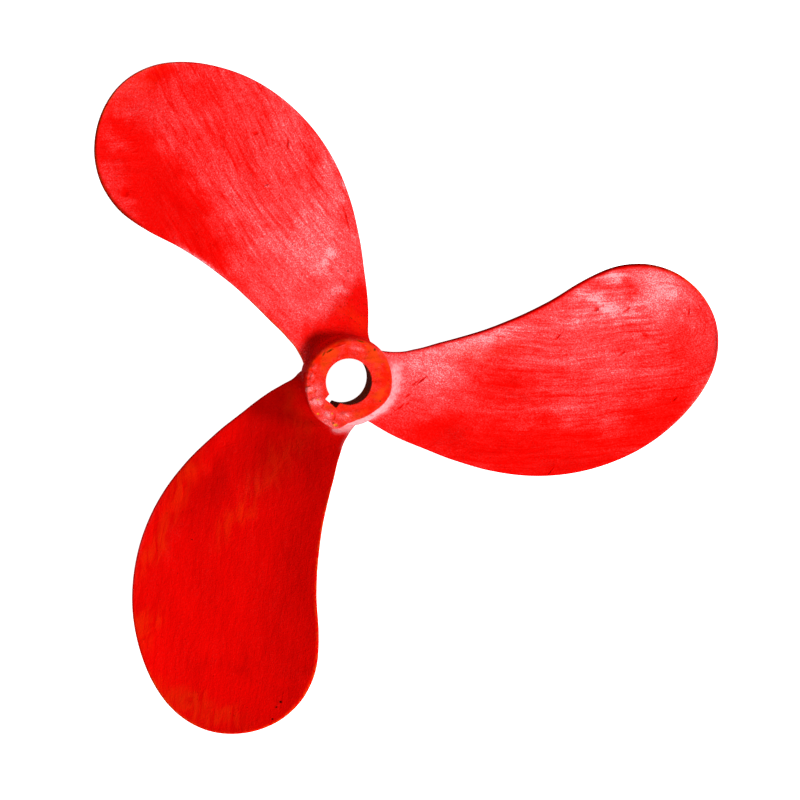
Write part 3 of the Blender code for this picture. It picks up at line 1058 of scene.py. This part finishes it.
# The strokes' own coordinates, and the patterns in them. Where the brush changed its direction,
# a pattern fades to its middle value.
where = add_node(tree, "ShaderNodeTexCoord", {}).outputs["Object"]
inputs = {"Vector": where, "Scale": WANDERS_PER_METRE, "Detail": 1.0}
wander = add_node(tree, "ShaderNodeTexNoise", inputs).outputs["Color"]
inputs = {0: wander, 1: WANDER_SWING}
swing = add_node(tree, "ShaderNodeVectorMath", inputs, operation="MULTIPLY")
inputs = {0: stored["stroke"], 1: swing}
bent = add_node(tree, "ShaderNodeVectorMath", inputs, operation="ADD")
coordinates = {"plain": where}
for space, stretch in STRETCHES:
    inputs = {0: bent, 1: stretch}
    coordinates[space] = add_node(tree, "ShaderNodeVectorMath", inputs, operation="MULTIPLY")
patterns = {}
mottle = {"drawn": 0.0, "swept": 0.0, "plain": 0.0}
for name, space, size_mm, detail, roughness, distortion, amount in PATTERNS:
    inputs = {
        "Vector": coordinates[space],
        "Scale": 1000 / size_mm,
        "Detail": detail,
        "Roughness": roughness,
        "Distortion": distortion,
    }
    patterns[name] = add_node(tree, "ShaderNodeTexNoise", inputs)
    if space != "plain":
        inputs = {0: stored["steady"], 2: PATTERN_MIDDLE, 3: patterns[name]}
        patterns[name] = add_node(tree, "ShaderNodeMix", inputs)
    inputs = {0: patterns[name], 1: amount, 2: mottle[space]}
    mottle[space] = add_node(tree, "ShaderNodeMath", inputs, operation="MULTIPLY_ADD")
for space, total in mottle.items():
    inputs = {0: total, 1: sum(pattern[-1] for pattern in PATTERNS if pattern[1] == space) / 2}
    mottle[space] = add_node(tree, "ShaderNodeMath", inputs, operation="SUBTRACT")
inputs = {0: mottle["drawn"], 1: stored["brushed"], 2: mottle["plain"]}
mottle["plain"] = add_node(tree, "ShaderNodeMath", inputs, operation="MULTIPLY_ADD")
inputs = {0: mottle["plain"], 1: mottle["swept"]}
mottle = add_node(tree, "ShaderNodeMath", inputs, operation="ADD")
inputs = {"Vector": where, "Scale": ISLANDS_PER_METRE, "Detail": 3.0, "Distortion": 0.8}
islands = add_node(tree, "ShaderNodeTexNoise", inputs)
inputs = {0: stored["hub_orange"], 1: HUB_THINNING, 2: islands}
islands = add_node(tree, "ShaderNodeMath", inputs, operation="MULTIPLY_ADD")
cells = add_node(tree, "ShaderNodeTexVoronoi", {"Vector": where, "Scale": SPECKS_PER_METRE})
pinholes = add_node(tree, "ShaderNodeTexVoronoi", {"Vector": where, "Scale": PINHOLES_PER_METRE})

# Between two values of a pattern, each sign of wear goes from one strength to another, and is
# as strong as that where its own share is one. The band is the painted highlight by the hub's
# rim, and dirt also carries painted shade and painted light.
inputs = {0: stored["on_face"], 1: stored["painted_highlight_band"]}
on_hub = add_node(tree, "ShaderNodeMath", inputs, operation="SUBTRACT", use_clamp=True)
wear_and_painted_light = {}
for name, pattern, low, high, at_low, at_high, share in (
    ("unevenness", stored["pale_level"], 0.0, 0.35, 0.65, 1.0, 1.0),
    ("bare_strokes", patterns["strokes"], 0.33, 0.42, -0.12, 0.0, stored["brushed"]),
    ("band", patterns["dabs"], 0.30, 0.52, 0.70, 1.0, stored["painted_highlight_band"]),
    ("thin", patterns["dabs"], 0.34, 0.60, 0.0, 1.0, stored["orange"]),
    ("hub_thin", islands, 0.54, 0.80, 0.22, 0.95, on_hub),
    ("chips", patterns["sand"], 0.42, 0.58, 0.0, 1.0, stored["edge"]),
    ("specks", cells, 0.16, 0.34, 1.0, 0.0, 1.0),
    ("pinholes", pinholes, 0.04, 0.11, 0.66, 1.0, 1.0),
    ("dirt_and_painted_light", patterns["dabs"], 0.38, 0.56, 0.92, 1.0, stored["tone_and_painted_light"]),
):
    inputs = {
        "Value": pattern,
        "From Min": low,
        "From Max": high,
        "To Min": at_low,
        "To Max": at_high,
    }
    strength = add_node(tree, "ShaderNodeMapRange", inputs)
    wear_and_painted_light[name] = add_node(tree, "ShaderNodeMath", {0: strength, 1: share}, operation="MULTIPLY")

# Chalk lies unevenly where there is much of it. The hub has its own, and so has the painted
# highlight band beside it.
inputs = {0: mottle, 1: wear_and_painted_light["unevenness"], 2: stored["pale_level"]}
blade_pale_level = add_node(tree, "ShaderNodeMath", inputs, operation="MULTIPLY_ADD")
inputs = {0: wear_and_painted_light["bare_strokes"], 1: blade_pale_level}
blade_pale_level = add_node(tree, "ShaderNodeMath", inputs, operation="ADD")
inputs = {0: mottle, 1: HUB_MOTTLE, 2: stored["hub_pale_level"]}
hub_pale_level = add_node(tree, "ShaderNodeMath", inputs, operation="MULTIPLY_ADD")
inputs = {0: stored["on_face"], 2: blade_pale_level, 3: hub_pale_level}
pale_level = add_node(tree, "ShaderNodeMix", inputs)
inputs = {0: patterns["sand"], 1: BAND_MOTTLE, 2: stored["band_pale_level"]}
band_pale_level = add_node(tree, "ShaderNodeMath", inputs, operation="MULTIPLY_ADD")
pale_level = add_node(tree, "ShaderNodeMix", {0: wear_and_painted_light["band"], 2: pale_level, 3: band_pale_level})
tones = add_node(tree, "ShaderNodeValToRGB", {"Fac": pale_level})
ramp = tones.color_ramp
for position, colour in PAINT_TONES:
    ramp.elements.new(position).color = linear(colour)
ramp.elements.remove(ramp.elements[0])
ramp.elements.remove(ramp.elements[-1])
colour = tones.outputs["Color"]

# Thin paint is dark orange on the blades and brighter on the hub. Edges show old gold-brown
# metal in chips, and knocks show metal, brown soil or dark dirt.
chosen = add_node(tree, "ShaderNodeSeparateColor", {"Color": cells.outputs["Color"]})
inputs = {0: chosen, 1: SPECKS_LEFT_OUT}
chosen = add_node(tree, "ShaderNodeMath", inputs, operation="GREATER_THAN")
inputs = {0: chosen, 1: stored["specked"]}
chosen = add_node(tree, "ShaderNodeMath", inputs, operation="MULTIPLY")
inputs = {0: wear_and_painted_light["specks"], 1: chosen}
specks = add_node(tree, "ShaderNodeMath", inputs, operation="MULTIPLY", use_clamp=True)
inputs = {0: specks, 1: SPECK_STRENGTH}
specks = add_node(tree, "ShaderNodeMath", inputs, operation="MULTIPLY")
for cover, hex_colour in (
    (wear_and_painted_light["thin"], "EA2003"),
    (wear_and_painted_light["hub_thin"], "E93A0E"),
    (wear_and_painted_light["chips"], "D8601A"),
    (stored["metal"], "D88418"),
    (stored["soil"], "8C3404"),
    (stored["dark"], "1C0A04"),
    (specks, "5A1E02"),
):
    inputs = {0: cover, 6: colour, 7: linear(hex_colour)}
    colour = add_node(tree, "ShaderNodeMix", inputs, data_type="RGBA").outputs[2]

# Old dirt dulls some strokes and sits in pinholes. The same darkening also carries the tone
# places, with painted shade and painted light on blade 3, and the painted shade along edges
# that face away from the lamps.
inputs = {0: wear_and_painted_light["dirt_and_painted_light"], 1: wear_and_painted_light["pinholes"]}
dirt_and_painted_light = add_node(tree, "ShaderNodeMath", inputs, operation="MULTIPLY")
grey = add_node(tree, "ShaderNodeCombineColor", {"Red": dirt_and_painted_light, "Green": dirt_and_painted_light, "Blue": dirt_and_painted_light})
inputs = {0: 1.0, 6: colour, 7: grey}
toned_colour = add_node(tree, "ShaderNodeMix", inputs, data_type="RGBA", blend_type="MULTIPLY")
roughness = add_node(tree, "ShaderNodeMapRange", {"Value": pale_level, "To Min": 0.42, "To Max": 0.62})
inputs = {0: patterns["bristles"], 1: stored["brushed"], 2: patterns["sand"]}
height = add_node(tree, "ShaderNodeMath", inputs, operation="MULTIPLY_ADD")
for name, share in HEIGHT_SHARES:
    inputs = {0: patterns[name], 1: share, 2: height}
    height = add_node(tree, "ShaderNodeMath", inputs, operation="MULTIPLY_ADD")
inputs = {"Height": height, "Strength": BUMP_STRENGTH, "Distance": BUMP_HEIGHT}
bump = add_node(tree, "ShaderNodeBump", inputs)
tree.links.new(toned_colour.outputs[2], shader.inputs["Base Color"])
tree.links.new(roughness.outputs[0], shader.inputs["Roughness"])
tree.links.new(bump.outputs[0], shader.inputs["Normal"])
shader.inputs["Specular IOR Level"].default_value = WORN_GLOSS
casting_mesh.materials.append(paint)


# Casting: the bore
# The taper and its slot were reamed and cut in bare metal, and carry no paint. Old grease and
# dirt cover the metal in blotches of about 9 mm, so it shows as a dull brown film.
GREASE_PER_METRE = 110.0
WALL_MARGIN = 0.0004
SLOT_MARGIN = 0.0005
WALL_LEAN = 0.5
greasy = bpy.data.materials.new("greasy_bare_bronze")
greasy.use_nodes = True
tree = greasy.node_tree
shader = tree.nodes["Principled BSDF"]
where = add_node(tree, "ShaderNodeTexCoord", {}).outputs["Object"]
inputs = {"Vector": where, "Scale": GREASE_PER_METRE, "Detail": 4.0, "Distortion": 0.5}
film = add_node(tree, "ShaderNodeTexNoise", inputs)
film = add_node(tree, "ShaderNodeMapRange", {"Value": film, "From Min": 0.35, "From Max": 0.65})
inputs = {0: film, 6: linear("6E1802"), 7: linear("AC3C05")}
brown = add_node(tree, "ShaderNodeMix", inputs, data_type="RGBA")
roughness = add_node(tree, "ShaderNodeMapRange", {"Value": film, "To Min": 0.55, "To Max": 0.75})
tree.links.new(brown.outputs[2], shader.inputs["Base Color"])
tree.links.new(roughness.outputs[0], shader.inputs["Roughness"])
shader.inputs["Specular IOR Level"].default_value = WORN_GLOSS
casting_mesh.materials.append(greasy)
deepest = BORE_AFT_RADIUS + (HUB_AFT - HUB_FORE) * BORE_TAPER / 2 + WALL_MARGIN
slot_floor = -KEYWAY_FLOOR - SLOT_MARGIN
for face in casting_mesh.polygons:
    x, y, _ = face.center
    in_slot = abs(x) < KEYWAY_WIDTH / 2 + SLOT_MARGIN and slot_floor < y < 0
    if abs(face.normal.z) < WALL_LEAN and (math.hypot(x, y) < deepest or in_slot):
        face.material_index = 1


# Floor
# A sheet of white card that the hub's fore end stands on. It is matt and takes no shine, and
# gives a light of its own, so that it stays as white as the photograph's background. That
# light doesn't fall on the casting.
FLOOR_HALF_SIDE = 8.0
FLOOR_CORNERS = ((-1, -1), (1, -1), (1, 1), (-1, 1))
floor_mesh = bpy.data.meshes.new("floor")
corners = [(x * FLOOR_HALF_SIDE, y * FLOOR_HALF_SIDE, 0) for x, y in FLOOR_CORNERS]
floor_mesh.from_pydata(corners, [], [(0, 1, 2, 3)])
floor = bpy.data.objects.new("floor", floor_mesh)
floor.location.z = HUB_FORE + GENERATOR_Z
scene.collection.objects.link(floor)
floor.visible_diffuse = False
floor.visible_glossy = False
sheet = bpy.data.materials.new("matt_white_card")
sheet.use_nodes = True
sheet_shader = sheet.node_tree.nodes["Principled BSDF"]
sheet_shader.inputs["Base Color"].default_value = linear("F4F4F2")
sheet_shader.inputs["Roughness"].default_value = 0.9
sheet_shader.inputs["Emission Color"].default_value = (1, 1, 1, 1)
sheet_shader.inputs["Emission Strength"].default_value = 1.0
floor_mesh.materials.append(sheet)


# Light
# Two softboxes, one to the right of the view and one below it, in a dim pale room. Each gives
# its azimuth and elevation in degrees, and its power in watts.
SOFTBOX_DISTANCE = 5.0
SOFTBOX_SIDE = 1.3
ROOM_STRENGTH = 0.27
SOFTBOXES = (("softbox_right", 34.0, 28.5, 314.0), ("softbox_below", -52.0, 34.0, 156.0))
world = bpy.data.worlds.new("studio")
scene.world = world
world.use_nodes = True
room = world.node_tree.nodes["Background"]
room.inputs["Color"].default_value = (1, 1, 1, 1)
room.inputs["Strength"].default_value = ROOM_STRENGTH
for name, azimuth, elevation, power in SOFTBOXES:
    lamp_data = bpy.data.lights.new(name, "AREA")
    lamp_data.size = SOFTBOX_SIDE
    lamp_data.energy = power
    lamp = bpy.data.objects.new(name, lamp_data)
    scene.collection.objects.link(lamp)
    lamp.matrix_world = (
        Matrix.Rotation(math.radians(azimuth), 4, "Z")
        @ Matrix.Rotation(math.radians(-elevation), 4, "Y")
        @ Matrix.Translation((SOFTBOX_DISTANCE, 0, 0))
        @ Matrix.Rotation(math.radians(90), 4, "Y")
    )
scene.view_settings.view_transform = "Standard"
